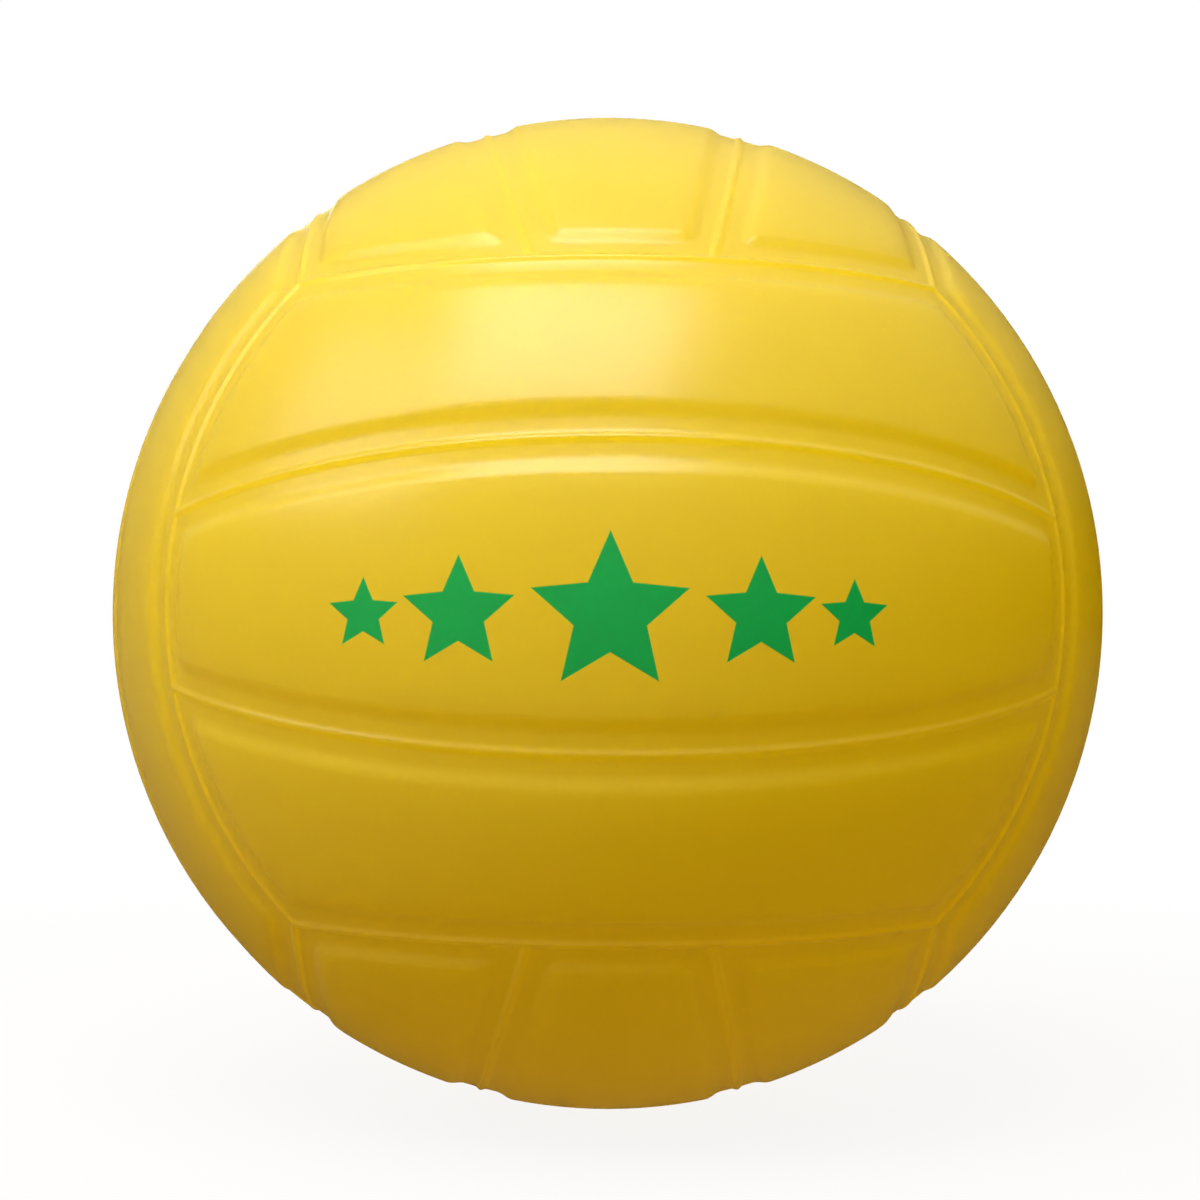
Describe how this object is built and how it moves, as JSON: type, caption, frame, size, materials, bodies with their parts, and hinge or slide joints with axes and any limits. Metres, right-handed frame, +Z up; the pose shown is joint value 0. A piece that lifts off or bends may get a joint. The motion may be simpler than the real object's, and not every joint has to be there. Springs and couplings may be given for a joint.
{
  "type": "play ball",
  "caption": "Hollow yellow vinyl play ball with a moulded volleyball relief of panels, channels and beads, inflated through a push-in plug valve at the back.",
  "frame": {"origin": "centre of the ball", "axes": "+Z up as pictured, -Y towards the viewer at the middle of the front face, +Y out of the valve, +X along the front face's strips"},
  "size_m": [0.21, 0.21, 0.21],
  "materials": {
    "yellow_vinyl": "satin, smooth moulded soft vinyl",
    "valve_vinyl": "matt soft vinyl",
    "white_plug": "satin moulded plastic"
  },
  "bodies": {
    "ball": {"ball_skin": "yellow_vinyl", "valve_insert": "valve_vinyl"},
    "plug": {"valve_plug": "white_plug"}
  },
  "joints": [
    {"name": "plug_pull", "type": "slide", "parent": "ball", "child": "plug", "axis": [0, 1, 0], "range_m": [0, 0.016]}
  ]
}
